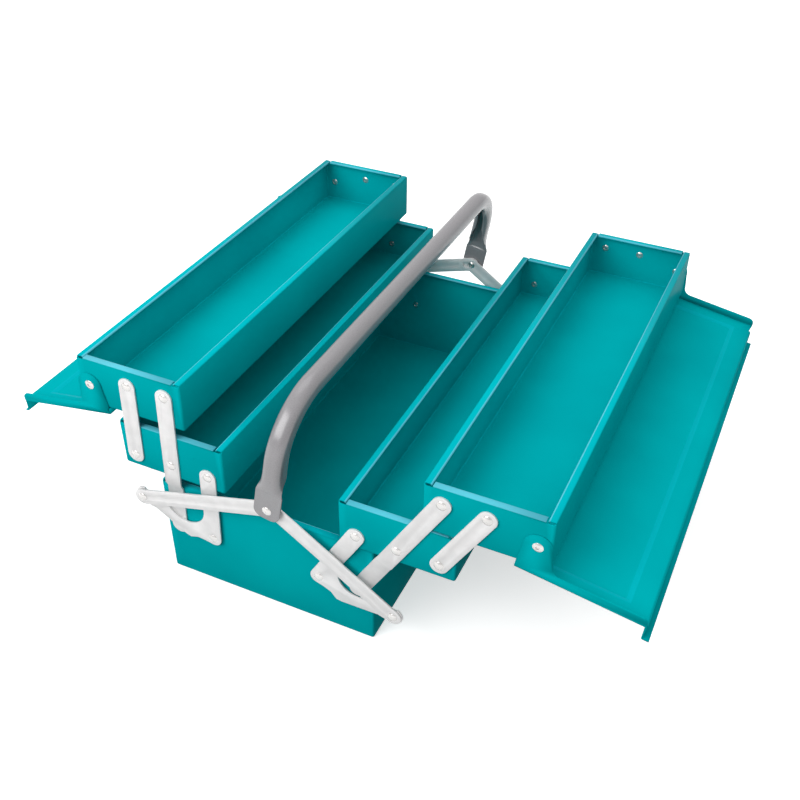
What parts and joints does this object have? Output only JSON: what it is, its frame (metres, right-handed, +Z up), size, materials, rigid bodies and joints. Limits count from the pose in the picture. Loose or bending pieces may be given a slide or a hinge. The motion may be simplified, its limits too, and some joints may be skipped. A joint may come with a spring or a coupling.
{
  "type": "cantilever tool box",
  "caption": "Sheet steel tool box whose lidded trays fold out sideways on riveted links, with a deep base tray and a pinned carrying handle",
  "frame": {"origin": "centre of the base tray's underside", "axes": "+Z up, +Y from the front end to the back end along the handle, +X to the right, towards the side that is fully open"},
  "size_m": [0.5249, 0.4258, 0.2152],
  "materials": {
    "teal_paint": "satin teal powder coat",
    "zinc_steel": "bright zinc plated steel",
    "handle_grey": "semi-gloss silver grey paint"
  },
  "bodies": {
    "base": {"base_tray": "teal_paint", "front_base_tray_end": "teal_paint", "back_base_tray_end": "teal_paint", "front_base_rivets": "zinc_steel", "back_base_rivets": "zinc_steel"},
    "right_long_links": {"front_right_long_link": "zinc_steel", "back_right_long_link": "zinc_steel"},
    "right_mid_tray": {"right_mid_tray": "teal_paint", "front_right_mid_tray_end": "teal_paint", "back_right_mid_tray_end": "teal_paint", "front_right_mid_tray_rivets": "zinc_steel", "back_right_mid_tray_rivets": "zinc_steel"},
    "right_top_tray": {"right_top_tray": "teal_paint", "front_right_top_tray_end": "teal_paint", "back_right_top_tray_end": "teal_paint", "front_right_top_tray_rivets": "zinc_steel", "back_right_top_tray_rivets": "zinc_steel", "front_right_lid_rivet": "zinc_steel", "back_right_lid_rivet": "zinc_steel"},
    "right_cranks": {"front_right_crank": "zinc_steel", "back_right_crank": "zinc_steel", "front_right_crank_tip_rivet": "zinc_steel", "back_right_crank_tip_rivet": "zinc_steel"},
    "right_short_links": {"front_right_short_link": "zinc_steel", "back_right_short_link": "zinc_steel"},
    "right_handle_bars": {"front_right_handle_bar": "zinc_steel", "back_right_handle_bar": "zinc_steel"},
    "right_lid": {"right_lid": "teal_paint"},
    "left_long_links": {"front_left_long_link": "zinc_steel", "back_left_long_link": "zinc_steel"},
    "left_mid_tray": {"left_mid_tray": "teal_paint", "front_left_mid_tray_end": "teal_paint", "back_left_mid_tray_end": "teal_paint", "front_left_mid_tray_rivets": "zinc_steel", "back_left_mid_tray_rivets": "zinc_steel"},
    "left_top_tray": {"left_top_tray": "teal_paint", "front_left_top_tray_end": "teal_paint", "back_left_top_tray_end": "teal_paint", "front_left_top_tray_rivets": "zinc_steel", "back_left_top_tray_rivets": "zinc_steel", "front_left_lid_rivet": "zinc_steel", "back_left_lid_rivet": "zinc_steel"},
    "left_cranks": {"front_left_crank": "zinc_steel", "back_left_crank": "zinc_steel", "front_left_crank_tip_rivet": "zinc_steel", "back_left_crank_tip_rivet": "zinc_steel"},
    "left_short_links": {"front_left_short_link": "zinc_steel", "back_left_short_link": "zinc_steel"},
    "left_handle_bars": {"front_left_handle_bar": "zinc_steel", "back_left_handle_bar": "zinc_steel"},
    "left_lid": {"left_lid": "teal_paint"},
    "handle": {"handle": "handle_grey", "front_handle_rivet": "zinc_steel", "back_handle_rivet": "zinc_steel"}
  },
  "joints": [
    {"name": "unfold", "type": "hinge", "parent": "base", "child": "right_long_links", "pos_m": [0.08235, 0, 0.05337], "axis": [0, 1, 0], "range_deg": [-60, 0]},
    {"name": "right_mid_tray_swing", "type": "hinge", "parent": "right_long_links", "child": "right_mid_tray", "pos_m": [0.11596, 0, 0.11159], "axis": [0, 1, 0], "range_deg": [0, 60.01]},
    {"name": "right_top_tray_swing", "type": "hinge", "parent": "right_long_links", "child": "right_top_tray", "pos_m": [0.14957, 0, 0.16981], "axis": [0, 1, 0], "range_deg": [0, 60.01]},
    {"name": "right_crank_swing", "type": "hinge", "parent": "base", "child": "right_cranks", "pos_m": [0.04874, 0, 0.05337], "axis": [0, 1, 0], "range_deg": [-60.01, 0]},
    {"name": "right_short_link_swing", "type": "hinge", "parent": "right_mid_tray", "child": "right_short_links", "pos_m": [0.14957, 0, 0.11159], "axis": [0, 1, 0], "range_deg": [-60.01, 0]},
    {"name": "right_handle_bar_swing", "type": "hinge", "parent": "right_cranks", "child": "right_handle_bars", "pos_m": [0.11447, 0, 0.04259], "axis": [0, 1, 0], "range_deg": [0, 69]},
    {"name": "left_long_link_swing", "type": "hinge", "parent": "base", "child": "left_long_links", "pos_m": [-0.08235, 0, 0.05337], "axis": [0, 1, 0], "range_deg": [0, 27.51]},
    {"name": "left_mid_tray_swing", "type": "hinge", "parent": "left_long_links", "child": "left_mid_tray", "pos_m": [-0.07942, 0, 0.12053], "axis": [0, 1, 0], "range_deg": [-27.51, 0]},
    {"name": "left_top_tray_swing", "type": "hinge", "parent": "left_long_links", "child": "left_top_tray", "pos_m": [-0.07649, 0, 0.18769], "axis": [0, 1, 0], "range_deg": [-27.51, 0]},
    {"name": "left_crank_swing", "type": "hinge", "parent": "base", "child": "left_cranks", "pos_m": [-0.04874, 0, 0.05337], "axis": [0, 1, 0], "range_deg": [0, 27.51]},
    {"name": "left_short_link_swing", "type": "hinge", "parent": "left_mid_tray", "child": "left_short_links", "pos_m": [-0.11303, 0, 0.12053], "axis": [0, 1, 0], "range_deg": [0, 27.51]},
    {"name": "left_handle_bar_swing", "type": "hinge", "parent": "left_cranks", "child": "left_handle_bars", "pos_m": [-0.10998, 0, 0.0796], "axis": [0, 1, 0], "range_deg": [-55.22, 0]},
    {"name": "handle_tilt", "type": "hinge", "parent": "left_handle_bars", "child": "handle", "pos_m": [0.01104, 0, 0.11441], "axis": [0, 1, 0], "range_deg": [-25, 40]},
    {"name": "right_lid_swing", "type": "hinge", "parent": "right_top_tray", "child": "right_lid", "pos_m": [0.21959, 0, 0.16041], "axis": [0, 1, 0], "range_deg": [-189.51, 0]},
    {"name": "left_lid_swing", "type": "hinge", "parent": "left_top_tray", "child": "left_lid", "pos_m": [-0.14651, 0, 0.1783], "axis": [0, 1, 0], "range_deg": [0, 189.51]}
  ],
  "couplings": [
    {"joint": "right_mid_tray_swing", "follows": "unfold", "ratio": -1},
    {"joint": "right_top_tray_swing", "follows": "unfold", "ratio": -1},
    {"joint": "right_crank_swing", "follows": "unfold", "ratio": 1},
    {"joint": "right_short_link_swing", "follows": "unfold", "ratio": 1},
    {"joint": "right_handle_bar_swing", "follows": "unfold", "ratio": -1.1498},
    {"joint": "left_long_link_swing", "follows": "unfold", "ratio": -0.45833},
    {"joint": "left_mid_tray_swing", "follows": "unfold", "ratio": 0.45833},
    {"joint": "left_top_tray_swing", "follows": "unfold", "ratio": 0.45833},
    {"joint": "left_crank_swing", "follows": "unfold", "ratio": -0.45833},
    {"joint": "left_short_link_swing", "follows": "unfold", "ratio": -0.45833},
    {"joint": "left_handle_bar_swing", "follows": "unfold", "ratio": 0.92021},
    {"joint": "right_lid_swing", "follows": "unfold", "ratio": 3.1583},
    {"joint": "left_lid_swing", "follows": "unfold", "ratio": -3.1583}
  ]
}
